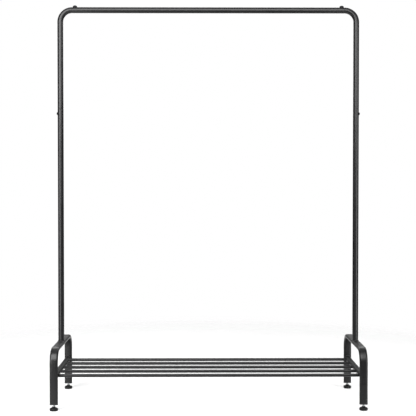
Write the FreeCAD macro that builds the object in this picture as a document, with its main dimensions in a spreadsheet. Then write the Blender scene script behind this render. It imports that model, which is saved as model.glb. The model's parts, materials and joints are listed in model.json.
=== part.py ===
"""Garment rail: a hanging rail on two posts, each post standing on an arched leg frame, with a
rod shelf between the frames and four screw feet.

Frame: +Z up, +X to the right along the rail, -Y to the front, origin on the floor under the middle.
Sizes are millimetres. "left" is -X and "right" is +X, "front" is -Y and "rear" is +Y.
"""
import FreeCAD, Part
import os
import re

import Sketcher
from FreeCAD import Placement, Rotation, Vector

# Every size that can be set by itself. The whole model is bound to these cells.
SIZES = {
    # overall
    "post_spacing": 1110,
    "overall_height": 1474,
    "overall_depth": 400,
    # round tube of the rail, the corners and the posts
    "tube_od": 22,
    "tube_wall": 1.2,
    "bend_radius": 44,
    "corner_straight": 2,
    "seam_height": 1095,
    # swaged ends of the corner tubes
    "swage_length": 1.6,
    "swage_gap": 0.2,
    "rail_spigot": 28,
    "post_spigot": 36,
    "rail_screw_inset": 9,
    "post_screw_drop": 19,
    # flat-oval tube of the leg frames
    "leg_width": 30,
    "leg_depth": 15,
    "leg_wall": 1.2,
    "frame_height": 222,
    "frame_bend": 47.5,
    "leg_end": 24.5,
    # shelf
    "shelf_height": 120,
    "bar_od": 22,
    "bar_wall": 1.2,
    "rod_od": 12,
    "rod_wall": 1.2,
    "rod_pitch": 80,
    "insert_length": 20,
    # M6 fasteners
    "screw_radius": 3,
    "clearance_radius": 3.3,
    "access_radius": 5.75,
    "dome_radius": 8,
    "dome_height": 5,
    "dome_rounding": 4,
    "button_radius": 5.5,
    "button_height": 3.5,
    "button_rounding": 2.4,
    "cap_radius": 5,
    "cap_height": 6,
    "cap_rounding": 0.6,
    "socket_radius": 2.31,
    "socket_depth": 2.5,
    "rail_screw_reach": 14,
    "post_screw_reach": 10.5,
    "shelf_screw_reach": 22,
    "tip_chamfer": 0.6,
    "saddle_height": 1.5,
    "nut_radius": 5.5,
    "nut_height": 6,
    "washer_radius": 5.2,
    "washer_height": 2.2,
    # end plugs and the nuts moulded into them
    "plug_gap": 0.1,
    "plug_lip": 0.3,
    "plug_flange": 3.5,
    "plug_length": 20,
    "foot_nut_radius": 5.25,
    "foot_nut_head": 5.9,
    "foot_nut_head_height": 2,
    "thread_gap": 0.05,
    # screw feet
    "stud_radius": 4,
    "stud_length": 45,
    "stud_start": 4,
    "pad_radius": 15,
    "pad_sole": 13,
    "pad_edge": 2,
    "pad_rim": 7,
    "pad_shoulder": 13.2,
    "pad_shoulder_height": 10,
    "pad_neck": 5.8,
    "pad_neck_height": 13,
    "pad_height": 15.5,
}
RODS = 5
SIDES = {"left": -1, "right": 1}
ENDS = {"front": -1, "rear": 1}

X = Vector(1, 0, 0)
Y = Vector(0, 1, 0)
Z = Vector(0, 0, 1)

# Formulas that several pieces share.
TUBE_RADIUS = "tube_od / 2"
TUBE_BORE = "(tube_od / 2 - tube_wall)"
SPIGOT_RADIUS = "(tube_od / 2 - tube_wall - swage_gap)"
SPIGOT_BORE = "(tube_od / 2 - 2 * tube_wall - swage_gap)"
SWAGE_SHOWN = "swage_length * tube_wall / (tube_wall + swage_gap)"
RAIL_AXIS = "(overall_height - tube_od / 2)"
RAIL_HALF = "(post_spacing / 2 - bend_radius - corner_straight)"
LEG_Y = "(overall_depth / 2 - leg_depth / 2)"
BAR_RADIUS = "bar_od / 2"
BAR_BORE = "(bar_od / 2 - bar_wall)"
WASHER_FLAT = "(bar_od / 2 - bar_wall - washer_height)"
ROD_BORE = "(rod_od / 2 - rod_wall)"

doc = FreeCAD.newDocument("garment_rail")
sheet = doc.addObject("Spreadsheet::Sheet", "sizes")
for row, (alias, size) in enumerate(SIZES.items(), start=1):
    sheet.set("A%d" % row, alias)
    sheet.set("B%d" % row, str(size))
    sheet.setAlias("B%d" % row, alias)
doc.recompute()

parts = []


def formula(text):
    """Turn the name of each size in a formula into a reference to its cell."""
    return re.sub(r"[a-z]\w*", lambda word: "sizes." + word.group(), str(text))


def bind(thing, prop, text):
    """Bind one property to a formula of the sizes."""
    thing.setExpression(prop, formula(text))


def new_body(name):
    """A body that becomes the piece called name."""
    body = doc.addObject("PartDesign::Body", name)
    body.Label = name
    return body


def put(piece, x="0", y="0", z="0", rotation=None):
    """Place a piece by formulas."""
    piece.Placement = Placement(Vector(), rotation or Rotation())
    for axis, text in zip("xyz", (x, y, z)):
        bind(piece, "Placement.Base." + axis, text)


def keep(piece):
    """Mark a finished piece, so that its file is written."""
    parts.append(piece)


def sketch(body, name, role, x="0", y="0", z="0", turn=0):
    """An empty sketch on one of the body's own origin planes, moved and turned within it."""
    drawing = body.newObject("Sketcher::SketchObject", name)
    plane = next(plane for plane in body.Origin.OriginFeatures if plane.Role == role)
    drawing.AttachmentSupport = [(plane, "")]
    drawing.MapMode = "FlatFace"
    drawing.AttachmentOffset = Placement(Vector(), Rotation(Z, turn))
    for axis, text in zip("xyz", (x, y, z)):
        bind(drawing, "AttachmentOffset.Base." + axis, text)
    return drawing


def present_size(drawing, kind, places):
    """What a dimension measures before it is bound."""
    if kind == "Radius":
        return drawing.Geometry[places[0]].Radius
    span = drawing.getPoint(*places[2:]) - drawing.getPoint(*places[:2])
    return span.x if kind == "DistanceX" else span.y


def limit(drawing, kind, *places, size):
    """Add a dimension at its present size, then bind it to a formula."""
    start = present_size(drawing, kind, places)
    index = drawing.addConstraint(Sketcher.Constraint(kind, *places, start))
    bind(drawing, "Constraints[%d]" % index, size)


def tie(drawing, kind, *places):
    """Add a constraint that has no size."""
    drawing.addConstraint(Sketcher.Constraint(kind, *places))


def circle(drawing, radius):
    """A circle round the sketch's origin."""
    index = drawing.addGeometry(Part.Circle(Vector(), Z, 1.0))
    tie(drawing, "Coincident", index, 3, -1, 1)
    limit(drawing, "Radius", index, size=radius)


def stadium(drawing, width, depth):
    """A flat oval round the sketch's origin: two half circles joined by straight sides."""
    start = Vector(3, 0, 0)
    right = drawing.addGeometry(Part.ArcOfCircle(Part.Circle(start, Z, 2), -1.5708, 1.5708))
    left = drawing.addGeometry(Part.ArcOfCircle(Part.Circle(-start, Z, 2), 1.5708, 4.7124))
    top = drawing.addGeometry(Part.LineSegment(Vector(3, 2, 0), Vector(-3, 2, 0)))
    bottom = drawing.addGeometry(Part.LineSegment(Vector(-3, -2, 0), Vector(3, -2, 0)))
    tie(drawing, "Tangent", right, 2, top, 1)
    tie(drawing, "Tangent", top, 2, left, 1)
    tie(drawing, "Tangent", left, 2, bottom, 1)
    tie(drawing, "Tangent", bottom, 2, right, 1)
    tie(drawing, "Equal", right, left)
    tie(drawing, "PointOnObject", right, 3, -1)
    tie(drawing, "Symmetric", right, 3, left, 3, -1, 1)
    limit(drawing, "Radius", right, size="(%s) / 2" % depth)
    limit(drawing, "DistanceX", left, 3, right, 3, size="(%s) - (%s)" % (width, depth))


def turned(body, name, points, **place):
    """A solid turned about the sketch's vertical axis; points are (radius, height) formulas."""
    drawing = sketch(body, name + "_profile", "XZ_Plane", **place)
    corners = [Vector(1 + index, index * index, 0) for index in range(len(points))]
    for start, end in zip(corners, corners[1:] + corners[:1]):
        drawing.addGeometry(Part.LineSegment(start, end))
    for index, (radius, height) in enumerate(points):
        tie(drawing, "Coincident", index - 1 if index else len(points) - 1, 2, index, 1)
        if radius == "0":
            tie(drawing, "PointOnObject", index, 1, -2)
        else:
            limit(drawing, "DistanceX", -1, 1, index, 1, size=radius)
        if height == "0":
            tie(drawing, "PointOnObject", index, 1, -1)
        else:
            limit(drawing, "DistanceY", -1, 1, index, 1, size=height)
    solid = body.newObject("PartDesign::Revolution", name)
    solid.Profile = drawing
    solid.ReferenceAxis = (drawing, ["V_Axis"])
    solid.Angle = 360
    return solid


def pad(body, name, drawing, length, centred=False):
    """Extrude a sketch along its normal."""
    solid = body.newObject("PartDesign::Pad", name)
    solid.Profile = drawing
    solid.Midplane = centred
    bind(solid, "Length", length)
    return solid


def cut(body, name, drawing, forward=False, centred=False):
    """Cut a sketch right through the body: against its normal, along it, or both ways."""
    pocket = body.newObject("PartDesign::Pocket", name)
    pocket.Profile = drawing
    pocket.Type = "ThroughAll"
    pocket.Reversed = forward
    pocket.Midplane = centred
    return pocket


def pipe(body, name, profile, path):
    """Sweep a hollow profile along all the edges of a path."""
    solid = body.newObject("PartDesign::AdditivePipe", name)
    solid.Profile = profile
    solid.Spine = (path, ["Edge%d" % number for number in range(1, path.GeometryCount + 1)])
    return solid


def mirrored(body, name, feature, role):
    """Repeat one feature on the other side of an origin plane."""
    mirror = body.newObject("PartDesign::Mirrored", name)
    mirror.Originals = [feature]
    mirror.MirrorPlane = (next(p for p in body.Origin.OriginFeatures if p.Role == role), [""])
    body.Tip = mirror
    return mirror


def ring(drawing, outside, inside):
    """The ring section of a round tube."""
    circle(drawing, outside)
    circle(drawing, inside)


def top_rail():
    """Straight tube that carries the hangers, drilled from above near both ends."""
    body = new_body("top_rail")
    section = sketch(body, "rail_section", "YZ_Plane")
    ring(section, TUBE_RADIUS, TUBE_BORE)
    pad(body, "rail_tube", section, "2 * " + RAIL_HALF, centred=True)
    hole = sketch(body, "rail_hole", "XY_Plane", x=RAIL_HALF + " - rail_screw_inset")
    circle(hole, "clearance_radius")
    drilled = cut(body, "rail_drilling", hole, forward=True)
    mirrored(body, "rail_drilling_left", drilled, "YZ_Plane")
    put(body, z=RAIL_AXIS)
    keep(body)


def spigot(body, name, length, **place):
    """Swaged end of a tube: a short taper, then a straight spigot that enters the next tube."""
    end = "swage_length + " + length
    turned(body, name, [
        (TUBE_RADIUS, "0"),
        (SPIGOT_RADIUS, "swage_length"),
        (SPIGOT_RADIUS, end),
        (SPIGOT_BORE, end),
        (SPIGOT_BORE, "swage_length"),
        (TUBE_BORE, "0"),
    ], **place)


def corner_tube(side):
    """Bent tube from the post to the rail, swaged at both ends."""
    body = new_body("corner_tube_" + side)
    low_end = "(seam_height + %s)" % SWAGE_SHOWN
    high_end = "(bend_radius + corner_straight - %s)" % SWAGE_SHOWN
    path = sketch(body, "corner_path_" + side, "XZ_Plane")
    reach = SIZES["bend_radius"]
    bend_start = SIZES["overall_height"] - SIZES["tube_od"] / 2 - reach
    straight = Part.LineSegment(Vector(0, SIZES["seam_height"], 0), Vector(0, bend_start, 0))
    bend = Part.ArcOfCircle(Part.Circle(Vector(-reach, bend_start, 0), Z, reach), 0, 1.5708)
    top = Vector(-reach, bend_start + reach, 0)
    for edge in (straight, bend, Part.LineSegment(top, top - X)):
        path.addGeometry(edge)
    tie(path, "Tangent", 0, 2, 1, 1)
    tie(path, "Tangent", 1, 2, 2, 1)
    tie(path, "Vertical", 0)
    tie(path, "Horizontal", 2)
    tie(path, "PointOnObject", 0, 1, -2)
    limit(path, "DistanceY", -1, 1, 0, 1, size=low_end)
    limit(path, "Radius", 1, size="bend_radius")
    limit(path, "DistanceX", 2, 2, -1, 1, size=high_end)
    limit(path, "DistanceY", -1, 1, 2, 2, size=RAIL_AXIS)
    section = sketch(body, "corner_section_" + side, "XY_Plane", z=low_end)
    ring(section, TUBE_RADIUS, TUBE_BORE)
    pipe(body, "corner_pipe_" + side, section, path)
    spigot(body, "post_spigot_" + side, "post_spigot", y=low_end, turn=180)
    spigot(body, "rail_spigot_" + side, "rail_spigot", x="-" + high_end, y=RAIL_AXIS, turn=90)
    low_hole = sketch(body, "post_hole_" + side, "YZ_Plane", y="seam_height - post_screw_drop")
    circle(low_hole, "clearance_radius")
    cut(body, "post_hole_cut_" + side, low_hole, forward=True)
    high_hole = sketch(body, "rail_hole_" + side, "XY_Plane", z=RAIL_AXIS,
                       x="-(bend_radius + corner_straight + rail_screw_inset)")
    circle(high_hole, "clearance_radius")
    cut(body, "rail_hole_cut_" + side, high_hole, forward=True)
    put(body, x="%d * post_spacing / 2" % SIDES[side], rotation=half_turn(side))
    keep(body)


def half_turn(side):
    """Pieces are drawn for the right side and turned about Z for the left one."""
    return Rotation(Z, 0 if side == "right" else 180)


def upright(side):
    """Post tube: shaped to the top of its leg frame below, drilled on its outer side above."""
    body = new_body("upright_" + side)
    section = sketch(body, "upright_section_" + side, "XY_Plane", z="frame_height - leg_depth / 2")
    ring(section, TUBE_RADIUS, TUBE_BORE)
    pad(body, "upright_tube_" + side, section, "seam_height - frame_height + leg_depth / 2")
    seat = sketch(body, "upright_seat_" + side, "XZ_Plane", y="frame_height - leg_depth / 2")
    stadium(seat, "leg_width", "leg_depth")
    cut(body, "upright_cope_" + side, seat, centred=True)
    hole = sketch(body, "upright_hole_" + side, "YZ_Plane", y="seam_height - post_screw_drop")
    circle(hole, "clearance_radius")
    cut(body, "upright_drilling_" + side, hole, forward=True)
    put(body, x="%d * post_spacing / 2" % SIDES[side], rotation=half_turn(side))
    keep(body)


def leg_frame(side):
    """Arched frame of flat-oval tube: two legs joined by a level top, with round corners."""
    body = new_body("leg_frame_" + side)
    path = sketch(body, "frame_path_" + side, "YZ_Plane")
    half = (SIZES["overall_depth"] - SIZES["leg_depth"]) / 2
    top = SIZES["frame_height"] - SIZES["leg_depth"] / 2
    bend = SIZES["frame_bend"]
    foot = SIZES["leg_end"]
    front_bend = Part.Circle(Vector(bend - half, top - bend, 0), Z, bend)
    rear_bend = Part.Circle(Vector(half - bend, top - bend, 0), Z, bend)
    edges = [
        Part.LineSegment(Vector(-half, foot, 0), Vector(-half, top - bend, 0)),
        Part.ArcOfCircle(front_bend, 1.5708, 3.1416),
        Part.LineSegment(Vector(bend - half, top, 0), Vector(half - bend, top, 0)),
        Part.ArcOfCircle(rear_bend, 0, 1.5708),
        Part.LineSegment(Vector(half, top - bend, 0), Vector(half, foot, 0)),
    ]
    for edge in edges:
        path.addGeometry(edge)
    tie(path, "Tangent", 0, 2, 1, 2)
    tie(path, "Tangent", 1, 1, 2, 1)
    tie(path, "Tangent", 2, 2, 3, 2)
    tie(path, "Tangent", 3, 1, 4, 1)
    tie(path, "Vertical", 0)
    tie(path, "Horizontal", 2)
    tie(path, "Vertical", 4)
    tie(path, "Equal", 1, 3)
    tie(path, "Symmetric", 0, 1, 4, 2, -2)
    limit(path, "Radius", 1, size="frame_bend")
    limit(path, "DistanceX", 0, 1, 4, 2, size="2 * " + LEG_Y)
    limit(path, "DistanceY", -1, 1, 0, 1, size="leg_end")
    limit(path, "DistanceY", -1, 1, 2, 1, size="frame_height - leg_depth / 2")
    section = sketch(body, "frame_section_" + side, "XY_Plane", y="-" + LEG_Y, z="leg_end")
    stadium(section, "leg_width", "leg_depth")
    stadium(section, "leg_width - 2 * leg_wall", "leg_depth - 2 * leg_wall")
    pipe(body, "frame_pipe_" + side, section, path)
    put(body, x="%d * post_spacing / 2" % SIDES[side])
    keep(body)


def row_of_holes(body, name, radius, forward):
    """One hole per rod, in one wall of an end bar."""
    hole = sketch(body, name, "YZ_Plane", x="-%d * rod_pitch" % (RODS // 2))
    circle(hole, radius)
    first = cut(body, name + "_first", hole, forward=forward)
    pattern = body.newObject("PartDesign::LinearPattern", name + "_row")
    pattern.Originals = [first]
    pattern.Direction = (hole, ["H_Axis"])
    bind(pattern, "Length", "%d * rod_pitch" % (RODS - 1))
    pattern.Occurrences = RODS
    body.Tip = pattern


def shelf_end_bar(side):
    """Round tube between the legs of one frame, shaped to the legs and drilled for the rods."""
    body = new_body("shelf_end_bar_" + side)
    section = sketch(body, "bar_section_" + side, "XZ_Plane")
    ring(section, BAR_RADIUS, BAR_BORE)
    pad(body, "bar_tube_" + side, section, "2 * " + LEG_Y, centred=True)
    seat = sketch(body, "bar_seat_" + side, "XY_Plane", y=LEG_Y)
    stadium(seat, "leg_width", "leg_depth")
    rear = cut(body, "bar_cope_" + side, seat, centred=True)
    mirrored(body, "bar_cope_front_" + side, rear, "XZ_Plane")
    row_of_holes(body, "access_hole_" + side, "access_radius", forward=True)
    row_of_holes(body, "screw_hole_" + side, "clearance_radius", forward=False)
    put(body, x="%d * post_spacing / 2" % SIDES[side], z="shelf_height", rotation=half_turn(side))
    keep(body)


def shelf_rod(number):
    """Round tube between the end bars, with both ends shaped to them."""
    body = new_body("shelf_rod_%d" % number)
    section = sketch(body, "rod_section_%d" % number, "YZ_Plane")
    ring(section, "rod_od / 2", ROD_BORE)
    pad(body, "rod_tube_%d" % number, section, "post_spacing", centred=True)
    seat = sketch(body, "rod_seat_%d" % number, "XZ_Plane", x="post_spacing / 2")
    circle(seat, BAR_RADIUS)
    right = cut(body, "rod_cope_%d" % number, seat, centred=True)
    mirrored(body, "rod_cope_left_%d" % number, right, "YZ_Plane")
    put(body, y=rod_y(number), z="shelf_height")
    keep(body)


def rod_y(number):
    """Rods are numbered from the front."""
    return "%d * rod_pitch" % (number - 1 - RODS // 2)


def end_plug(name):
    """Plastic plug in a leg's end: a flange below the tube and a body inside it, bored for a nut."""
    body = new_body(name)
    flange = sketch(body, name + "_flange", "XY_Plane", z="leg_end - plug_flange")
    stadium(flange, "leg_width + 2 * plug_lip", "leg_depth + 2 * plug_lip")
    pad(body, name + "_flange_pad", flange, "plug_flange")
    core = sketch(body, name + "_core", "XY_Plane", z="leg_end")
    inset = "2 * (leg_wall + plug_gap)"
    stadium(core, "leg_width - " + inset, "leg_depth - " + inset)
    pad(body, name + "_core_pad", core, "plug_length")
    bore = sketch(body, name + "_bore", "XY_Plane", z="leg_end")
    circle(bore, "foot_nut_radius")
    cut(body, name + "_bore_cut", bore, centred=True)
    return body


def foot_nut(name):
    """Round steel nut in the plug, with a head that rests on the plug's upper end."""
    body = new_body(name)
    top = "plug_flange + plug_length"
    turned(body, name + "_ring", [
        ("stud_radius + thread_gap", "0"),
        ("foot_nut_radius", "0"),
        ("foot_nut_radius", top),
        ("foot_nut_head", top),
        ("foot_nut_head", top + " + foot_nut_head_height"),
        ("stud_radius + thread_gap", top + " + foot_nut_head_height"),
    ], y="leg_end - plug_flange")
    return body


def foot_stud(name):
    """Threaded stud of a screw foot, with its lower end moulded into the pad."""
    body = new_body(name)
    turned(body, name + "_rod", [
        ("0", "0"),
        ("stud_radius", "0"),
        ("stud_radius", "stud_length - tip_chamfer"),
        ("stud_radius - tip_chamfer", "stud_length"),
        ("0", "stud_length"),
    ], y="stud_start")
    return body


def foot_pad(name):
    """Plastic foot: a flat sole, a rounded rim and a cone up to the neck round the stud."""
    body = new_body(name)
    turned(body, name + "_form", [
        ("0", "0"),
        ("pad_sole", "0"),
        ("pad_radius", "pad_edge"),
        ("pad_radius", "pad_rim"),
        ("pad_shoulder", "pad_shoulder_height"),
        ("pad_neck", "pad_neck_height"),
        ("pad_neck", "pad_height"),
        ("stud_radius", "pad_height"),
        ("stud_radius", "stud_start"),
        ("0", "stud_start"),
    ])
    return body


def screw_form(name, head, height, rounding, reach):
    """Socket screw with its seat at the origin, its head above and its shank below."""
    body = new_body(name)
    blank = turned(body, name + "_blank", [
        ("0", "0"),
        ("screw_radius - tip_chamfer", "0"),
        ("screw_radius", "tip_chamfer"),
        ("screw_radius", reach),
        (head, reach),
        (head, "%s + %s" % (reach, height)),
        ("0", "%s + %s" % (reach, height)),
    ], y="-" + reach)
    doc.recompute()
    rim = max(range(len(blank.Shape.Edges)), key=lambda index: rim_rank(blank.Shape.Edges[index]))
    fillet = body.newObject("PartDesign::Fillet", name + "_crown")
    fillet.Base = (blank, ["Edge%d" % (rim + 1)])
    bind(fillet, "Radius", rounding)
    socket = body.newObject("PartDesign::SubtractivePrism", name + "_socket")
    socket.Polygon = 6
    bind(socket, "Circumradius", "socket_radius")
    bind(socket, "Height", height)
    bind(socket, "Placement.Base.z", "%s - socket_depth" % height)
    return body


def rim_rank(edge):
    """The rim of a screw's head is its highest edge, and the widest one there."""
    box = edge.BoundBox
    return (round(box.ZMin, 3), box.XLength)


def ring_form(name, radius, hole, low, high):
    """A ring along Z, from one height above the origin to another."""
    body = new_body(name)
    section = sketch(body, name + "_section", "XY_Plane", z=low)
    ring(section, radius, hole)
    pad(body, name + "_ring", section, "(%s) - (%s)" % (high, low))
    return body


def nut_form(name, radius, hole, flat, bore):
    """A ring with a back that follows the bore of a tube along X; its flat side is inward."""
    body = ring_form(name, radius, hole, flat, "1.2 * (%s)" % bore)
    outside = sketch(body, name + "_outside", "YZ_Plane")
    circle(outside, bore)
    circle(outside, "2 * (%s)" % bore)
    cut(body, name + "_back", outside, centred=True)
    return body


def saddle_form(name):
    """A washer that is flat above and follows the top of a round tube along X below."""
    body = ring_form(name, "dome_radius", "clearance_radius", "0", TUBE_RADIUS + " + saddle_height")
    tube = sketch(body, name + "_tube", "YZ_Plane")
    circle(tube, TUBE_RADIUS)
    cut(body, name + "_hollow", tube, centred=True)
    return body


def group(name, form, places):
    """One piece of several equal solids: copies of a form at places (x_axis, z_axis, x, y, z)."""
    copies = []
    for number, (x_axis, z_axis, x, y, z) in enumerate(places, start=1):
        copy = doc.addObject("App::Link", "%s_%d" % (name, number))
        copy.LinkedObject = form
        put(copy, x, y, z, Rotation(x_axis, Vector(), z_axis, "ZXY"))
        copies.append(copy)
    whole = doc.addObject("Part::Compound", name)
    whole.Label = name
    whole.Links = copies
    keep(whole)


def rail_places(height):
    """Over the two joints of the rail, at a height above its axis."""
    inset = RAIL_HALF + " - rail_screw_inset"
    return [(X, Z, "%d * (%s)" % (sign, inset), "0", "%s + %s" % (RAIL_AXIS, height))
            for sign in SIDES.values()]


def post_places(distance):
    """At the two joints of the posts, outward from their axes by a distance."""
    return [(Z, X * sign, "%d * (post_spacing / 2 + %s)" % (sign, distance), "0",
             "seam_height - post_screw_drop") for sign in SIDES.values()]


def rod_places(distance, direction):
    """At both ends of every rod, inward from the end bars' axes by a distance."""
    return [(Y, X * (sign * direction), "%d * (post_spacing / 2 - (%s))" % (sign, distance),
             rod_y(number), "shelf_height")
            for sign in SIDES.values() for number in range(1, RODS + 1)]


def fasteners():
    """Screws, nuts, washers and rod inserts: one piece for each kind."""
    dome = screw_form("dome_screw", "dome_radius", "dome_height", "dome_rounding", "rail_screw_reach")
    group("rail_screws", dome, rail_places(TUBE_RADIUS + " + saddle_height"))
    group("rail_saddle_washers", saddle_form("saddle_washer"), rail_places("0"))
    nut = nut_form("weld_nut", "nut_radius", "screw_radius", SPIGOT_BORE + " - nut_height", SPIGOT_BORE)
    group("rail_nuts", nut, rail_places("0"))
    group("post_nuts", nut, post_places("0"))
    button = screw_form("button_screw", "button_radius", "button_height", "button_rounding",
                        "post_screw_reach")
    group("post_screws", button, post_places(TUBE_RADIUS))
    cap = screw_form("cap_screw", "cap_radius", "cap_height", "cap_rounding", "shelf_screw_reach")
    group("shelf_screws", cap, rod_places(WASHER_FLAT, 1))
    washer = nut_form("curved_washer", "washer_radius", "clearance_radius", WASHER_FLAT, BAR_BORE)
    group("shelf_washers", washer, rod_places("0", -1))
    insert = ring_form("threaded_insert", ROD_BORE, "screw_radius", "0", BAR_RADIUS + " + insert_length")
    bar = sketch(insert, "insert_seat", "YZ_Plane")
    circle(bar, BAR_RADIUS)
    cut(insert, "insert_cope", bar, centred=True)
    group("rod_inserts", insert, rod_places("0", -1))


def legs_and_feet():
    """The four plugs, nuts and screw feet, each under its own leg."""
    for side, across in SIDES.items():
        for end, along in ENDS.items():
            for make, name in ((end_plug, "leg_plug"), (foot_nut, "foot_nut"),
                               (foot_stud, "foot_stud"), (foot_pad, "foot_pad")):
                piece = make("%s_%s_%s" % (name, end, side))
                put(piece, x="%d * post_spacing / 2" % across, y="%d * %s" % (along, LEG_Y))
                keep(piece)


def write_files():
    """Check the whole document, then write one file for each piece."""
    doc.recompute()
    for thing in doc.Objects:
        if "Invalid" in thing.State or "Error" in thing.State:
            raise RuntimeError("%s has failed: %s" % (thing.Label, thing.State))
    os.makedirs("parts", exist_ok=True)
    for piece in parts:
        if piece.Shape.isNull() or not piece.Shape.isValid() or not piece.Shape.Solids:
            raise RuntimeError("%s has no sound shape" % piece.Label)
        piece.Shape.exportStep("parts/%s.step" % piece.Label)
        volume = sum(solid.Volume for solid in piece.Shape.Solids)
        print("%-26s solids %2d  volume %10.1f mm3" % (piece.Label, len(piece.Shape.Solids), volume))


top_rail()
for side in SIDES:
    corner_tube(side)
    upright(side)
    leg_frame(side)
    shelf_end_bar(side)
for number in range(1, RODS + 1):
    shelf_rod(number)
legs_and_feet()
fasteners()
write_files()
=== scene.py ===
import json
import math

import bmesh
import bpy
import numpy as np
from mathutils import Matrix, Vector


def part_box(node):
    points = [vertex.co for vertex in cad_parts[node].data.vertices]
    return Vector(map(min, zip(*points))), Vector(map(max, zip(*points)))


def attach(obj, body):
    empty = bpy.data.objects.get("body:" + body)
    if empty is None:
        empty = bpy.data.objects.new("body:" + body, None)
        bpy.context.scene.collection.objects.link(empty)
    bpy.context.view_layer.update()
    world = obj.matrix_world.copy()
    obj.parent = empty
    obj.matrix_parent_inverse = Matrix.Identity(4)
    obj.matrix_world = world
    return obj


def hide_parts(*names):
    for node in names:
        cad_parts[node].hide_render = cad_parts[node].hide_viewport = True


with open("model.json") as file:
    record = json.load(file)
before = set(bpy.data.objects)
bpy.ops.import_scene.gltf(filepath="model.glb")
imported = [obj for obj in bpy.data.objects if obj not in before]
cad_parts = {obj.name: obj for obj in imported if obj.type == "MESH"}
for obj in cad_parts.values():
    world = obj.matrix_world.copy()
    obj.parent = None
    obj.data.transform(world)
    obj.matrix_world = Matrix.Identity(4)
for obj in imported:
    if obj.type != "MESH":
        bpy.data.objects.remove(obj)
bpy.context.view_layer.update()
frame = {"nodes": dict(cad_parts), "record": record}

# ---------------------------------------------------------------- sizes
# Everything is worked out in millimetres and turned into metres when a mesh is made.
MM = 0.001
FRAME_BODY = "rail_frame"
SIDES = {"left": -1, "right": 1}
ENDS = {"front": -1, "rear": 1}
RODS = (1, 2, 3, 4, 5)

X = np.array([1.0, 0.0, 0.0])
Y = np.array([0.0, 1.0, 0.0])
Z = np.array([0.0, 0.0, 1.0])


def node_box(node):
    """Lowest and highest corner of a CAD node, in millimetres."""
    low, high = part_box(node)
    return np.array(low) / MM, np.array(high) / MM


rail_low, rail_high = node_box("top_rail")
post_low, post_high = node_box("upright_right")
corner_low = node_box("corner_tube_right")[0]
leg_low, leg_high = node_box("leg_frame_right")
bar_low, bar_high = node_box("shelf_end_bar_right")
rod_low, rod_high = node_box("shelf_rod_1")
plug_low, plug_high = node_box("leg_plug_rear_right")

TUBE_R = (rail_high[2] - rail_low[2]) / 2
TUBE_WALL = 1.2
RAIL_Z = (rail_high[2] + rail_low[2]) / 2
RAIL_HALF = rail_high[0]
POST_X = (post_high[0] + post_low[0]) / 2
SEAM_Z = post_high[2]
LEG_WIDTH = leg_high[0] - leg_low[0]
LEG_DEPTH = 15.0
LEG_WALL = 1.2
LEG_Y = leg_high[1] - LEG_DEPTH / 2
LEG_BEND = 47.5
FRAME_TOP = leg_high[2]
LEG_END = leg_low[2]
BAR_R = (bar_high[2] - bar_low[2]) / 2
BAR_WALL = 1.2
BAR_Z = (bar_high[2] + bar_low[2]) / 2
ROD_R = (rod_high[2] - rod_low[2]) / 2
ROD_WALL = 1.2
BEND = 44.0
SWAGE = 1.6
SWAGE_DEPTH = 1.4
SWAGE_SHOWN = SWAGE * TUBE_WALL / SWAGE_DEPTH
ACCESS_R = 5.6  # holes in the end bars' outer sides
SADDLE_HEIGHT = 1.5
WASHER_HEIGHT = 2.2
SHAPED_LENGTH = 16.0  # over this length a shaped end passes into a straight tube
LIP_STEPS = 4  # points along the rounding of a tube's end
LIP_WEAR = 0.7  # share of rubbed edge on that rounding
SHARP = 38.0  # degrees: a sharper edge isn't shaded smooth


# ---------------------------------------------------------------- materials
def blank_material(name):
    """A new node material: the material, a function that adds nodes, its links and its shader."""
    material = bpy.data.materials.new(name)
    material.use_nodes = True
    tree = material.node_tree
    shader = tree.nodes["Principled BSDF"]

    def add(kind, **values):
        node = tree.nodes.new("ShaderNode" + kind)
        for key, value in values.items():
            if hasattr(node, key):
                setattr(node, key, value)
            else:
                node.inputs[key.replace("_", " ")].default_value = value
        return node

    return material, add, tree.links, shader


def noise(add, links, place, scale, detail=2.0):
    """A noise whose grains are 1 / scale metres."""
    node = add("TexNoise", Scale=scale, Detail=detail)
    links.new(place.outputs["Object"], node.inputs["Vector"])
    return node.outputs["Fac"]


def set_range(node, *values):
    """A map range node's lowest and highest value, first as read and then as written."""
    for socket, value in zip(("From Min", "From Max", "To Min", "To Max"), values):
        node.inputs[socket].default_value = value


def spread(add, links, source, low, high):
    """A noise stretched from low to high."""
    node = add("MapRange")
    set_range(node, 0.3, 0.7, low, high)
    links.new(source, node.inputs["Value"])
    return node.outputs["Result"]


def blend_colours(add, links, factor, first, second):
    """Two colours mixed by a factor; a colour may be the output of another node."""
    node = add("Mix", data_type="RGBA")
    links.new(factor, node.inputs["Factor"])
    for socket, colour in ((node.inputs[6], first), (node.inputs[7], second)):
        if isinstance(colour, tuple):
            socket.default_value = (*colour, 1.0)
        else:
            links.new(colour, socket)
    return node.outputs[2]


def added(add, links, first, second, weight):
    """first plus weight times second."""
    node = add("Math", operation="MULTIPLY_ADD")
    node.inputs[1].default_value = weight
    links.new(second, node.inputs[0])
    links.new(first, node.inputs[2])
    return node.outputs["Value"]


def bumped(add, links, shader, height, strength, depth):
    """Relief on the shader's normal; depth is in metres."""
    node = add("Bump", Strength=strength, Distance=depth)
    links.new(height, node.inputs["Height"])
    links.new(node.outputs["Normal"], shader.inputs["Normal"])


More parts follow.
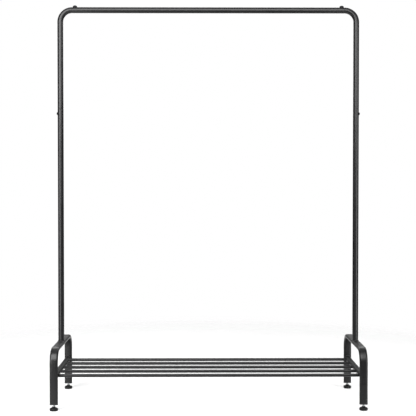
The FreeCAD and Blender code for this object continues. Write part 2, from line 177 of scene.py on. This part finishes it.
def surface(name, dark, light, worn, rough, peel, grain, relief, metal=0.0, specular=0.5):
    """Shared recipe: patchy colour, patchy roughness, two sizes of relief and rubbed edges.

    peel and grain are the scales of the two reliefs, rough the range of the roughness."""
    material, add, links, shader = blank_material(name)
    place = add("TexCoord")
    patches = noise(add, links, place, 9.0, 3.0)
    fine = noise(add, links, place, grain, 2.0)
    coarse = noise(add, links, place, peel, 1.0)
    colour = blend_colours(add, links, spread(add, links, patches, 0.0, 1.0), dark, light)
    wear = add("Attribute", attribute_name="wear")
    rub = add("Math", operation="MULTIPLY")
    links.new(wear.outputs["Fac"], rub.inputs[0])
    links.new(spread(add, links, fine, 0.2, 1.0), rub.inputs[1])
    colour = blend_colours(add, links, rub.outputs["Value"], colour, worn)
    links.new(colour, shader.inputs["Base Color"])
    blotches = noise(add, links, place, 55.0, 4.0)
    roughness = added(add, links, spread(add, links, blotches, *rough),
                      spread(add, links, fine, -0.5, 0.5), 0.08)
    links.new(roughness, shader.inputs["Roughness"])
    bumped(add, links, shader, added(add, links, coarse, fine, 0.35), relief[0], relief[1])
    shader.inputs["Metallic"].default_value = metal
    shader.inputs["Specular IOR Level"].default_value = specular
    return material


POWDER_COAT = surface("powder_coat", (0.0055, 0.0055, 0.0058), (0.0085, 0.0085, 0.0088),
                      (0.030, 0.030, 0.030), (0.27, 0.35), 700.0, 2600.0, (0.13, 0.00005),
                      specular=0.25)
PLUG_PLASTIC = surface("plug_plastic", (0.0085, 0.0085, 0.0090), (0.0120, 0.0120, 0.0125),
                       (0.026, 0.026, 0.026), (0.48, 0.60), 900.0, 3600.0, (0.45, 0.00008),
                       specular=0.35)
FOOT_PLASTIC = surface("foot_plastic", (0.0028, 0.0028, 0.0030), (0.0042, 0.0042, 0.0044),
                       (0.012, 0.012, 0.012), (0.46, 0.60), 1100.0, 4200.0, (0.40, 0.00006),
                       specular=0.16)
ZINC = surface("zinc_plate", (0.50, 0.51, 0.53), (0.66, 0.66, 0.66), (0.80, 0.80, 0.80),
               (0.26, 0.38), 700.0, 5000.0, (0.20, 0.00003), metal=1.0)
BLACK_ZINC = surface("black_zinc", (0.0026, 0.0026, 0.0030), (0.0046, 0.0046, 0.0052),
                     (0.014, 0.014, 0.016), (0.34, 0.46), 800.0, 4500.0, (0.20, 0.00003),
                     specular=0.06)

FINISH = {
    "powder_coat": POWDER_COAT,
    "plug_plastic": PLUG_PLASTIC,
    "foot_plastic": FOOT_PLASTIC,
    "zinc_steel": ZINC,
    "black_screws": BLACK_ZINC,
}


# ---------------------------------------------------------------- mesh helpers
def piece(name, rings, slot, body=FRAME_BODY, replaced=(), closed=True, wear=None, sharp=SHARP):
    """A piece of quads between neighbouring rings of points.

    closed joins the last ring to the first; otherwise both ends are capped. wear gives each ring
    a share of rubbed edge from 0 to 1."""
    count, around = len(rings), len(rings[0])
    points = np.concatenate(rings) * MM
    faces = []
    for ring in range(count if closed else count - 1):
        here, there = ring * around, (ring + 1) % count * around
        for step in range(around):
            after = (step + 1) % around
            faces.append((here + step, here + after, there + after, there + step))
    if not closed:
        faces.append(tuple(range(around))[::-1])
        faces.append(tuple(range((count - 1) * around, count * around)))
    mesh = bpy.data.meshes.new(name)
    mesh.from_pydata(points.tolist(), [], faces)
    finish_mesh(mesh, sharp)
    rubbed = np.repeat(np.array(wear if wear is not None else [0.0] * count), around)
    attribute = mesh.attributes.new("wear", "FLOAT", "POINT")
    attribute.data.foreach_set("value", rubbed.astype(np.float32))
    return as_piece(name, mesh, slot, body, replaced)


def finish_mesh(mesh, sharp):
    """Faces point outward and are smooth, but for edges sharper than the angle."""
    work = bmesh.new()
    work.from_mesh(mesh)
    bmesh.ops.recalc_face_normals(work, faces=work.faces)
    work.to_mesh(mesh)
    work.free()
    mesh.polygons.foreach_set("use_smooth", [True] * len(mesh.polygons))
    mesh.set_sharp_from_angle(angle=math.radians(sharp))


def as_piece(name, mesh, slot, body, replaced):
    """Puts a mesh in the scene as a piece that rides on a body and stands for CAD nodes."""
    thing = bpy.data.objects.new(name, mesh)
    bpy.context.scene.collection.objects.link(thing)
    mesh.materials.append(FINISH[slot])
    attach(thing, body)
    if replaced:
        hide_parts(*replaced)
    return thing


def arc(centre, wide, high, start, end, steps):
    """Points (radius, height) along part of an ellipse, angles in degrees."""
    return [(centre[0] + wide * math.cos(math.radians(a)), centre[1] + high * math.sin(math.radians(a)))
            for a in np.linspace(start, end, steps)]


def round_section(radius, count=56):
    """Outline of a round tube as a function of how far it is drawn in."""
    angles = np.arange(count) * 2 * math.pi / count

    def outline(inset):
        return (radius - inset) * np.stack([np.cos(angles), np.sin(angles)], axis=1)
    return outline


def stadium_section(width, depth, arc_steps=18, flat_steps=5):
    """Outline of a flat-oval tube as a function of how far it is drawn in."""
    half = (width - depth) / 2
    right = np.radians(np.linspace(-90, 90, arc_steps + 1))
    flat = np.linspace(1, -1, flat_steps + 1)[1:-1]

    def outline(inset):
        radius = depth / 2 - inset
        cap = np.stack([half + radius * np.cos(right), radius * np.sin(right)], axis=1)
        top = np.stack([flat * half, np.full(len(flat), radius)], axis=1)
        return np.concatenate([cap, top, -cap, -top])
    return outline


def route(corners, radius=0.0, steps=22):
    """Points and directions along straight runs joined by arcs."""
    corners = [np.array(corner, float) for corner in corners]
    spans = [after - before for before, after in zip(corners, corners[1:])]
    runs = [span / np.linalg.norm(span) for span in spans]
    places = [(corners[0], runs[0])]
    for corner, inward, outward in zip(corners[1:], runs, runs[1:]):
        turn = math.acos(float(np.dot(inward, outward)))
        across = outward - inward * np.dot(inward, outward)
        across = across / np.linalg.norm(across)
        start = corner - inward * radius * math.tan(turn / 2)
        for angle in np.linspace(0, turn, steps):
            along = inward * math.sin(angle) + across * (1 - math.cos(angle))
            heading = inward * math.cos(angle) + across * math.sin(angle)
            places.append((start + radius * along, heading))
    places.append((corners[-1], runs[-1]))
    return places


def lip(wall, edge=0.28, first=None):
    """Rounded end of a tube: (offset, inset) from its tip inward, outside and then inside.

    first gives the outside's own steps where the end isn't straight."""
    steps = first or [(0.0, 0.0), (1.0, 0.0), (14.0, 0.0)]
    tip_offset, tip_inset = steps[0]
    round_over = [(tip_offset + edge * (1 - math.sin(a)), tip_inset, edge * (1 - math.cos(a)))
                  for a in np.radians(np.linspace(90, 0, LIP_STEPS))]
    outer = [(offset, inset + cut) for offset, inset, cut in round_over] + steps[1:]
    inner = [(offset, inset + wall) for offset, inset in steps[:0:-1]]
    inner += [(offset, inset + wall - cut) for offset, inset, cut in round_over[::-1]]
    return outer, inner


def tube(name, places, across, section, wall, slot, replaced, ends=None, shift=None, shaped=(1, 1)):
    """Hollow tube along a route; across is the direction of the section's first axis.

    ends holds the two end shapes. shift moves an end outward by the distance across, and
    shaped says which ends it shapes."""
    ends = ends or (lip(wall), lip(wall))
    start, start_way = places[0]
    finish, finish_way = places[-1]
    rings, wear = [], []

    def ring(point, way, inset, outward=0.0, rubbed=0.0):
        outline = section(inset)
        normal = np.cross(across, way)
        moved = shift(np.abs(outline[:, 0])) * outward if shift else np.zeros(len(outline))
        rings.append(point + outline[:, :1] * across + outline[:, 1:] * normal + moved[:, None] * way)
        wear.append(rubbed)

    def fade(offset):
        return max(0.0, 1 - abs(offset) / SHAPED_LENGTH)

    def at_start(offset, inset, rubbed=0.0):
        ring(start + start_way * offset, start_way, inset, -shaped[0] * fade(offset), rubbed)

    def at_finish(offset, inset, rubbed=0.0):
        ring(finish - finish_way * offset, finish_way, inset, shaped[1] * fade(offset), rubbed)

    def lip_wear(number):
        return LIP_WEAR if 0 < number < LIP_STEPS else 0.0

    for number, (offset, inset) in enumerate(ends[0][0]):
        at_start(offset, inset, lip_wear(number))
    for point, way in places[1:-1]:
        ring(point, way, 0.0)
    for number, (offset, inset) in reversed(list(enumerate(ends[1][0]))):
        at_finish(offset, inset, lip_wear(number))
    for offset, inset in reversed(ends[1][1]):
        at_finish(offset, inset)
    for point, way in reversed(places[1:-1]):
        ring(point, way, wall)
    for offset, inset in ends[0][1]:
        at_start(offset, inset)
    return piece(name, rings, slot, replaced=replaced, wear=wear)


def saddle(radius, flat=0.0):
    """How far a surface falls away at a distance from its middle: flat first, then round."""
    def drop(distance):
        beyond = np.clip(distance - flat, 0.0, radius * 0.999)
        return radius - np.sqrt(radius ** 2 - beyond ** 2)
    return drop


LEG_SADDLE = saddle(LEG_DEPTH / 2, (LEG_WIDTH - LEG_DEPTH) / 2)
BAR_SADDLE = saddle(BAR_R)


def frame_of(axis):
    """Two directions square to an axis."""
    first = Y if abs(axis[1]) < 0.9 else X
    second = np.cross(axis, first)
    return first, second


def turned(name, centre, axis, levels, slot, body=FRAME_BODY, replaced=(), around=64, wear=None,
           sharp=SHARP):
    """A turned piece. levels are (radius, height) or (radius, height, six), six making a hexagon."""
    first, second = frame_of(axis)
    angles = np.arange(around) * 2 * math.pi / around
    sixth = math.pi / 3
    corner = 1 / np.cos((angles % sixth) - sixth / 2)
    rings = []
    for radius, height, *six in levels:
        reach = radius * (corner if six else np.ones(around))
        spokes = np.outer(reach * np.cos(angles), first) + np.outer(reach * np.sin(angles), second)
        rings.append(centre + spokes + axis * height)
    return piece(name, rings, slot, body, replaced, closed=False, wear=wear, sharp=sharp)


def joined(name, things, replaced=()):
    """Several pieces of one kind as one piece."""
    with bpy.context.temp_override(active_object=things[0], selected_editable_objects=things):
        bpy.ops.object.join()
    things[0].name = name
    things[0].data.name = name
    if replaced:
        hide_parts(*replaced)
    return things[0]


# ---------------------------------------------------------------- tubes
def swaged_end(length):
    """Outside steps of a swaged end: a straight spigot, then a soft shoulder to full size."""
    tip = -SWAGE - length
    steps = [(tip, SWAGE_DEPTH), (tip + 1.0, SWAGE_DEPTH), (-SWAGE - 0.5, SWAGE_DEPTH)]
    for share in np.linspace(0, 1, 9):
        steps.append((-SWAGE * (1 - share), SWAGE_DEPTH * (1 + math.cos(math.pi * share)) / 2))
    return steps + [(0.35, 0.0)]


def top_rail():
    """The hanging rail between its two joints."""
    places = route([(-RAIL_HALF, 0, RAIL_Z), (RAIL_HALF, 0, RAIL_Z)])
    tube("top_rail_tube", places, Y, round_section(TUBE_R), TUBE_WALL, "powder_coat", ["top_rail"])


def corner_tube(side, sign):
    """Bent tube with a swaged end in the post and another in the rail."""
    low = SEAM_Z + SWAGE_SHOWN
    high = RAIL_HALF + SWAGE_SHOWN
    corners = [(sign * POST_X, 0, low), (sign * POST_X, 0, RAIL_Z), (sign * high, 0, RAIL_Z)]
    post_end = lip(TUBE_WALL, first=swaged_end(SEAM_Z - corner_low[2] - SWAGE + SWAGE_SHOWN))
    rail_end = lip(TUBE_WALL, first=swaged_end(RAIL_HALF - corner_low[0] - SWAGE + SWAGE_SHOWN))
    tube("corner_tube_%s_bend" % side, route(corners, BEND), Y, round_section(TUBE_R), TUBE_WALL,
         "powder_coat", ["corner_tube_" + side], (post_end, rail_end))


def upright(side, sign):
    """Post from the frame's top to the seam, shaped to the frame at its foot."""
    places = route([(sign * POST_X, 0, FRAME_TOP), (sign * POST_X, 0, SEAM_Z)])
    tube("upright_%s_tube" % side, places, X, round_section(TUBE_R), TUBE_WALL, "powder_coat",
         ["upright_" + side], shift=LEG_SADDLE, shaped=(1, 0))


def leg_frame(side, sign):
    """Arched frame of flat-oval tube."""
    x, top = sign * POST_X, FRAME_TOP - LEG_DEPTH / 2
    corners = [(x, -LEG_Y, LEG_END), (x, -LEG_Y, top), (x, LEG_Y, top), (x, LEG_Y, LEG_END)]
    tube("leg_frame_%s_tube" % side, route(corners, LEG_BEND, 26), X,
         stadium_section(LEG_WIDTH, LEG_DEPTH), LEG_WALL, "powder_coat", ["leg_frame_" + side])


def weld_bead(name, centre, axis, radius, drop, size=1.7):
    """Fillet weld round a tube that stands on the flat-oval tube, under the powder coat."""
    steps, ripples, around = 220, 46, 12
    second = np.cross(axis, X)
    turn = np.arange(around) * 2 * math.pi / around
    rings = []
    for angle in np.arange(steps) * 2 * math.pi / steps:
        out = X * math.cos(angle) + second * math.sin(angle)
        point = centre + out * radius - axis * float(drop(np.array([abs(radius * math.cos(angle))]))[0])
        swell = size * (1 + 0.07 * math.cos(ripples * angle) + 0.05 * math.sin(3 * angle + centre[0]))
        rings.append(point + swell * (np.outer(np.cos(turn), out) + np.outer(np.sin(turn), axis)))
    piece(name, rings, "powder_coat", wear=[0.25] * steps)


def shelf_end_bar(side, sign):
    """Round tube between the legs, with access holes on its outer side."""
    inner = LEG_Y - LEG_DEPTH / 2
    x = sign * POST_X
    places = route([(x, -inner, BAR_Z), (x, inner, BAR_Z)])
    bar = tube("shelf_end_bar_%s_tube" % side, places, X, round_section(BAR_R, 72), BAR_WALL,
               "powder_coat", ["shelf_end_bar_" + side], shift=LEG_SADDLE)
    cutters = []
    for number in RODS:
        y = rod_y(number)
        levels = [(ACCESS_R, 4.0), (ACCESS_R, BAR_R - 1.9), (ACCESS_R + 0.15, BAR_R - 1.5),
                  (ACCESS_R + 1.0, BAR_R + 0.2), (ACCESS_R + 1.6, BAR_R + 1.4)]
        centre = np.array([x, y, BAR_Z])
        cutters.append(turned("cutter", centre, sign * X, levels, "powder_coat", around=48))
    cutter = joined("cutter", cutters)
    drill = bar.modifiers.new("access_holes", "BOOLEAN")
    drill.operation = "DIFFERENCE"
    drill.solver = "EXACT"
    drill.object = cutter
    drilled = bpy.data.meshes.new_from_object(bar.evaluated_get(bpy.context.evaluated_depsgraph_get()))
    bar.modifiers.clear()
    bar.data = drilled
    bpy.data.objects.remove(cutter)
    round_normals(drilled, np.array([x, 0, BAR_Z]) * MM)


def round_normals(mesh, centre):
    """True normals on the two round walls of a drilled bar, so that no shade shows at its holes."""
    verts = np.zeros(len(mesh.vertices) * 3)
    mesh.vertices.foreach_get("co", verts)
    verts = verts.reshape(-1, 3) - centre
    across = verts * np.array([1, 0, 1])
    near = 0.02 * MM
    reach = np.linalg.norm(across, axis=1)
    normals = np.zeros((len(mesh.loops), 3))
    for polygon in mesh.polygons:
        loops = list(polygon.loop_indices)
        corners = [mesh.loops[index].vertex_index for index in loops]
        way = 0
        if max(abs(reach[corners] - BAR_R * MM)) < near:
            way = 1
        elif max(abs(reach[corners] - (BAR_R - BAR_WALL) * MM)) < near:
            way = -1
        if way:
            normals[loops] = way * across[corners] / reach[corners][:, None]
    mesh.normals_split_custom_set(normals.tolist())


def rod_y(number):
    """Middle of a shelf rod."""
    low, high = node_box("shelf_rod_%d" % number)
    return (low[1] + high[1]) / 2


def shelf_rod(number):
    """Round tube between the end bars, shaped to them."""
    reach = POST_X - BAR_R
    y = rod_y(number)
    places = route([(-reach, y, BAR_Z), (reach, y, BAR_Z)])
    tube("shelf_rod_%d_tube" % number, places, Z, round_section(ROD_R, 40), ROD_WALL, "powder_coat",
         ["shelf_rod_%d" % number], shift=BAR_SADDLE)


# ---------------------------------------------------------------- legs' ends and feet
def end_plug(corner, x, y):
    """Moulded plug: rounded flange with a raised rim and boss below, ribbed body in the tube."""
    bottom, top = plug_low[2], plug_high[2]
    width, depth = plug_high[0] - plug_low[0], plug_high[1] - plug_low[1]
    outline = stadium_section(width, depth)
    angles = np.arctan2(outline(0)[:, 1], outline(0)[:, 0])
    edge, rim_edge = 0.9, 0.35
    bore = 5.27
    body = 1.65  # how far the plug's body is drawn in from its flange
    rings, wear = [], []

    def oval(inset, height, rubbed=0.0):
        flat = outline(inset)
        rings.append(np.column_stack([flat[:, 0] + x, flat[:, 1] + y, np.full(len(flat), height)]))
        wear.append(rubbed)

    def circle(radius, height):
        rings.append(np.column_stack([x + radius * np.cos(angles), y + radius * np.sin(angles),
                                      np.full(len(angles), height)]))
        wear.append(0.0)

    boss = [(bore, bottom + 0.25), (bore + 0.25, bottom), (6.3, bottom), (6.5, bottom + 0.15),
            (6.6, bottom + 0.6)]
    for radius, height in boss:
        circle(radius, height)
    oval(1.7, bottom + 0.6)
    oval(1.5, bottom + 0.15)
    oval(1.3, bottom)
    for inset, height in arc((edge, bottom + edge), edge, edge, 270, 180, 5):
        oval(inset, height, 0.6)
    for inset, height in arc((rim_edge, LEG_END - rim_edge), rim_edge, rim_edge, 180, 90, 4):
        oval(inset, height, 0.3)
    oval(body, LEG_END - 0.02)
    oval(body, LEG_END + 1)
    for height in np.linspace(LEG_END + 4, top - 4, 3):
        for step, rib in ((-1.2, body), (-0.6, body - 0.05), (0.6, body - 0.05), (1.2, body)):
            oval(rib, height + step)
    oval(body, top - 0.8)
    oval(body + 0.6, top)
    circle(bore, top)
    piece("leg_plug_%s_moulding" % corner, rings, "plug_plastic", replaced=["leg_plug_" + corner],
          wear=wear)


def foot_stud(corner, x, y):
    """M8 stud with its real thread, rolled and zinc plated."""
    low, high = node_box("foot_stud_" + corner)
    radius = (high[0] - low[0]) / 2
    pitch, depth, tip_chamfer, around = 1.25, 0.72, 1.1, 40
    angles = np.arange(around) * 2 * math.pi / around
    rings = []
    bottom = low[2] + 9.0  # below that the stud is hidden in its pad
    for height in np.arange(bottom, high[2] - 0.01, pitch / 10):
        phase = (height / pitch - angles / (2 * math.pi)) % 1.0
        groove = np.clip((0.5 - np.abs(phase - 0.5)) / 0.375 - 0.16, 0, 1)
        chamfer = np.clip(tip_chamfer - (high[2] - height), 0, tip_chamfer)
        reach = np.minimum(radius - depth * (1 - groove), radius - chamfer)
        rings.append(np.column_stack([x + reach * np.cos(angles), y + reach * np.sin(angles),
                                      np.full(around, height)]))
    tip = 0.6 * radius
    rings.append(np.column_stack([x + tip * np.cos(angles), y + tip * np.sin(angles),
                                  np.full(around, high[2])]))
    piece("foot_stud_%s_thread" % corner, rings, "zinc_steel", "foot_" + corner,
          ["foot_stud_" + corner], closed=False, sharp=60.0)


def foot_pad(corner, x, y):
    """Moulded pad: grooved sole, full round rim, hollow cone and a collar round the stud."""
    low, high = node_box("foot_pad_" + corner)
    radius, top = (high[0] - low[0]) / 2, high[2]
    levels = [(1.2, 0.6), (3.4, 0.6), (3.8, 0.12), (4.0, 0.0)]
    for groove in (6.6, 9.4):
        levels += [(groove - 0.6, 0.0), (groove - 0.45, 0.45)]
        levels += [(groove + 0.45, 0.45), (groove + 0.6, 0.0)]
    levels += arc((radius - 2.2, 2.4), 2.2, 2.4, 270, 360, 7)
    levels += arc((radius - 3.6, 6.6), 3.6, 3.7, 0, 62, 8)
    shoulder = levels[-1]
    neck = (6.0, 13.0)
    for share in np.linspace(0.12, 1, 9):
        hollow = -0.35 * math.sin(math.pi * share)
        levels.append((shoulder[0] + (neck[0] - shoulder[0]) * share + hollow,
                       shoulder[1] + (neck[1] - shoulder[1]) * share + hollow * 0.6))
    levels += [(5.72, 13.6), (5.7, top - 0.45), (5.6, top - 0.15), (5.3, top)]
    levels += [(4.3, top), (3.9, top - 0.5), (3.6, top - 3.0)]
    wear = [0.5 if 12 < number < 22 else 0.0 for number in range(len(levels))]  # on the rim
    turned("foot_pad_%s_moulding" % corner, np.array([x, y, 0.0]), Z, levels, "foot_plastic",
           "foot_" + corner, ["foot_pad_" + corner], around=72, wear=wear)


# ---------------------------------------------------------------- screws
def socket(height, depth, across_flats):
    """Levels of a hexagon socket, from its rim down to its floor."""
    apothem = across_flats / 2
    return [(apothem * 1.22, height), (apothem * 1.0, height - 0.35, True),
            (apothem, height - 0.55, True), (apothem, height - depth, True),
            (apothem * 0.3, height - depth - 0.35)]


def socket_screw(seat, axis, radius, height, crown, reach, across_flats):
    """Socket screw: shank below its seat, head above. crown are the head's outline points."""
    shank = 2.95
    levels = [(shank - 0.8, -reach), (shank, -reach + 0.8), (shank, -0.2), (radius - 0.35, 0.0),
              (radius, 0.3)]
    levels += crown + socket(height, 2.5, across_flats)
    wear = [0.0] * 5 + [0.5] * len(crown) + [0.9, 0.4, 0.0, 0.0, 0.0]
    return turned("screw", seat, axis, levels, "black_screws", around=72, wear=wear, sharp=34.0)


def rail_screws():
    """Dome-headed screws down into the rail's two joints."""
    low, high = node_box("rail_screws")
    seat = RAIL_Z + TUBE_R + SADDLE_HEIGHT
    height = high[2] - seat
    radius = (high[1] - low[1]) / 2
    screws = []
    for sign in SIDES.values():
        centre = np.array([sign * (high[0] - radius), 0, seat])
        crown = arc((0, 0.9), radius, height - 0.9, 0, 66, 13)
        crown.append((2.9, height - 0.04))
        screws.append(socket_screw(centre, Z, radius, height - 0.04, crown, reach=13.5,
                                   across_flats=4.0))
    joined("rail_screws_domed", screws, ["rail_screws"])


def rail_saddle_washers():
    """Washers with a flat seat above and the rail's round below."""
    low, high = node_box("rail_saddle_washers")
    radius = (high[1] - low[1]) / 2
    hole, around = 3.3, 72
    angles = np.arange(around) * 2 * math.pi / around
    washers = []
    for sign in SIDES.values():
        centre_x = sign * (high[0] - radius)
        rings, wear = [], []

        def level(reach, height=None, rubbed=0.0):
            y = reach * np.sin(angles)
            z = np.full(around, height) if height else RAIL_Z + np.sqrt(TUBE_R ** 2 - y ** 2) + 0.01
            rings.append(np.column_stack([centre_x + reach * np.cos(angles), y, z]))
            wear.append(rubbed)
        level(hole, high[2])
        level(radius - 0.4, high[2], 0.6)
        level(radius - 0.1, high[2] - 0.12, 0.8)
        level(radius, high[2] - 0.4, 0.6)
        level(radius)
        level(hole)
        washers.append(piece("washer", rings, "black_screws", wear=wear))
    joined("rail_saddle_washers_formed", washers, ["rail_saddle_washers"])


def post_screws():
    """Button-headed screws in the outer sides of the posts."""
    low, high = node_box("post_screws")
    z = (low[2] + high[2]) / 2
    radius = (high[2] - low[2]) / 2
    height = high[0] - POST_X - TUBE_R
    screws = []
    for sign in SIDES.values():
        seat = np.array([sign * (POST_X + TUBE_R), 0, z])
        crown = arc((0, 0.5), radius, height - 0.5, 0, 58, 11)
        crown.append((2.75, height - 0.05))
        screws.append(socket_screw(seat, sign * X, radius, height - 0.05, crown, reach=10.0,
                                   across_flats=4.0))
    joined("post_screws_button", screws, ["post_screws"])


def shelf_screws():
    """Cap screws inside the end bars, their heads behind the access holes."""
    low, high = node_box("shelf_screws")
    seat_x = POST_X - (BAR_R - BAR_WALL) + WASHER_HEIGHT
    height = high[0] - seat_x
    radius = (high[2] - low[2]) / 2
    screws = []
    for sign in SIDES.values():
        for number in RODS:
            seat = np.array([sign * seat_x, rod_y(number), BAR_Z])
            crown = [(radius, height - 0.5), (radius - 0.12, height - 0.18), (radius - 0.45, height)]
            screws.append(socket_screw(seat, sign * X, radius, height, crown, reach=21.5,
                                       across_flats=5.0))
    joined("shelf_screws_cap", screws, ["shelf_screws"])


# ---------------------------------------------------------------- building it
top_rail()
for side, sign in SIDES.items():
    corner_tube(side, sign)
    upright(side, sign)
    leg_frame(side, sign)
    shelf_end_bar(side, sign)
    foot_of_post = np.array([sign * POST_X, 0, FRAME_TOP])
    weld_bead("weld_upright_" + side, foot_of_post, Z, TUBE_R + 0.3, LEG_SADDLE)
    for end, way in ENDS.items():
        face = np.array([sign * POST_X, way * (LEG_Y - LEG_DEPTH / 2), BAR_Z])
        weld_bead("weld_bar_%s_%s" % (end, side), face, -way * Y, BAR_R + 0.3, LEG_SADDLE)
for number in RODS:
    shelf_rod(number)
for side, across in SIDES.items():
    for end, along in ENDS.items():
        corner = "%s_%s" % (end, side)
        place = (across * POST_X, along * LEG_Y)
        end_plug(corner, *place)
        foot_stud(corner, *place)
        foot_pad(corner, *place)
rail_screws()
rail_saddle_washers()
post_screws()
shelf_screws()

slots = {entry["node"]: entry["material_slot"] for entry in frame["record"]["subparts"]}
for name, thing in frame["nodes"].items():
    thing.data.materials.clear()
    thing.data.materials.append(FINISH[slots[name]])


# ---------------------------------------------------------------- floor, light and camera
FLOOR_MIDDLE = (0, 0.6, 0)
FLOOR_FULL = 1.1
FLOOR_GONE = 1.7


def floor():
    """A pale round floor that fades out at its edge."""
    mesh = bpy.data.meshes.new("floor")
    reach = 4.0  # metres, far past the fade
    corners = [(-reach, -reach, 0), (reach, -reach, 0), (reach, reach, 0), (-reach, reach, 0)]
    mesh.from_pydata(corners, [], [(0, 1, 2, 3)])
    thing = bpy.data.objects.new("floor", mesh)
    bpy.context.scene.collection.objects.link(thing)
    material, add, links, shader = blank_material("pale_floor")
    place = add("TexCoord")
    patches = noise(add, links, place, 1.5)
    colour = blend_colours(add, links, patches, (0.50, 0.50, 0.50), (0.53, 0.53, 0.53))
    links.new(colour, shader.inputs["Base Color"])
    shader.inputs["Roughness"].default_value = 0.8
    shader.inputs["Specular IOR Level"].default_value = 0.2
    distance = add("VectorMath", operation="DISTANCE")
    distance.inputs[1].default_value = FLOOR_MIDDLE
    links.new(place.outputs["Object"], distance.inputs[0])
    fade = add("MapRange", interpolation_type="SMOOTHSTEP")
    set_range(fade, FLOOR_FULL, FLOOR_GONE, 1.0, 0.0)
    links.new(distance.outputs["Value"], fade.inputs["Value"])
    links.new(fade.outputs["Result"], shader.inputs["Alpha"])
    shader.inputs["Emission Color"].default_value = (1.0, 1.0, 1.0, 1.0)
    shader.inputs["Emission Strength"].default_value = 0.34
    mesh.materials.append(material)


# name: (width and height, place, target, radiance). The two side boxes stand edge-on to the
# post on the other side, so that each lights its own post.
SOFT_BOXES = {
    "top_front": ((2.8, 1.9), (-0.4, -1.75, 2.1), (-0.4, 0.0, 1.35), 8.8),
    "key_left": ((1.4, 1.7), (-1.35, -1.03, 0.9), (-1.825, -0.15, 0.9), 9.2),
    "fill_right": ((1.6, 1.6), (1.55, -0.82, 0.8), (1.92, 0.11, 0.8), 6.8),
    "overhead": ((3.4, 3.0), (0, 0.6, 3.3), (0, 0.6, 0), 0.4),
    "rear": ((3.0, 1.5), (0, 2.2, 2.0), (0, 0, 0.9), 3.0),
    "rear_low": ((3.0, 0.5), (0, 2.6, 0.75), (0, 0, 0.5), 0.3),
}
DIM_BELOW = (0.06, 0.06, 0.06, 1)
DIM_ABOVE = (0.09, 0.09, 0.09, 1)


def area_light(name, size, place, target, radiance):
    """Soft box of even brightness, aimed at a target; the camera doesn't see it."""
    data = bpy.data.lights.new(name, "AREA")
    data.shape = "RECTANGLE"
    data.size, data.size_y = size
    data.energy = radiance * math.pi * size[0] * size[1]
    thing = bpy.data.objects.new(name, data)
    thing.location = place
    thing.rotation_euler = (Vector(target) - Vector(place)).to_track_quat("-Z", "Y").to_euler()
    thing.visible_camera = False
    bpy.context.scene.collection.objects.link(thing)


def surroundings():
    """White backdrop for the camera, and dim surroundings for everything else."""
    world = bpy.data.worlds.new("studio")
    bpy.context.scene.world = world
    world.use_nodes = True
    nodes, links = world.node_tree.nodes, world.node_tree.links
    nodes.clear()
    place = nodes.new("ShaderNodeTexCoord")
    split = nodes.new("ShaderNodeSeparateXYZ")
    links.new(place.outputs["Generated"], split.inputs["Vector"])
    ramp = nodes.new("ShaderNodeValToRGB")
    ramp.color_ramp.elements[0].position = 0.44
    ramp.color_ramp.elements[0].color = DIM_BELOW
    ramp.color_ramp.elements[1].position = 0.52
    ramp.color_ramp.elements[1].color = DIM_ABOVE
    rise = nodes.new("ShaderNodeMapRange")
    rise.inputs["From Min"].default_value = -1.0
    links.new(split.outputs["Z"], rise.inputs["Value"])
    links.new(rise.outputs["Result"], ramp.inputs["Fac"])
    dim = nodes.new("ShaderNodeBackground")
    links.new(ramp.outputs["Color"], dim.inputs["Color"])
    white = nodes.new("ShaderNodeBackground")
    white.inputs["Color"].default_value = (1, 1, 1, 1)
    path = nodes.new("ShaderNodeLightPath")
    mix = nodes.new("ShaderNodeMixShader")
    links.new(path.outputs["Is Camera Ray"], mix.inputs["Fac"])
    links.new(dim.outputs["Background"], mix.inputs[1])
    links.new(white.outputs["Background"], mix.inputs[2])
    out = nodes.new("ShaderNodeOutputWorld")
    links.new(mix.outputs["Shader"], out.inputs["Surface"])
    bpy.context.scene.view_settings.view_transform = "Standard"


CAMERA_PLACE = (-0.030, -3.653, 0.80)
CAMERA_DOWN = 1.23  # degrees
CAMERA_ASIDE = 0.445
CAMERA_LENS = 83.95  # millimetres, on a sensor 36 mm wide
CAMERA_SENSOR = 36.0


def camera():
    """Long lens straight in front, at about half the rail's height, pitched down a little."""
    data = bpy.data.cameras.new("camera")
    data.sensor_width = CAMERA_SENSOR
    data.lens = CAMERA_LENS
    data.dof.use_dof = False
    thing = bpy.data.objects.new("camera", data)
    thing.location = CAMERA_PLACE
    thing.rotation_euler = (math.radians(90 - CAMERA_DOWN), 0, math.radians(-CAMERA_ASIDE))
    bpy.context.scene.collection.objects.link(thing)
    bpy.context.scene.camera = thing


floor()
for name, values in SOFT_BOXES.items():
    area_light(name, *values)
surroundings()
camera()
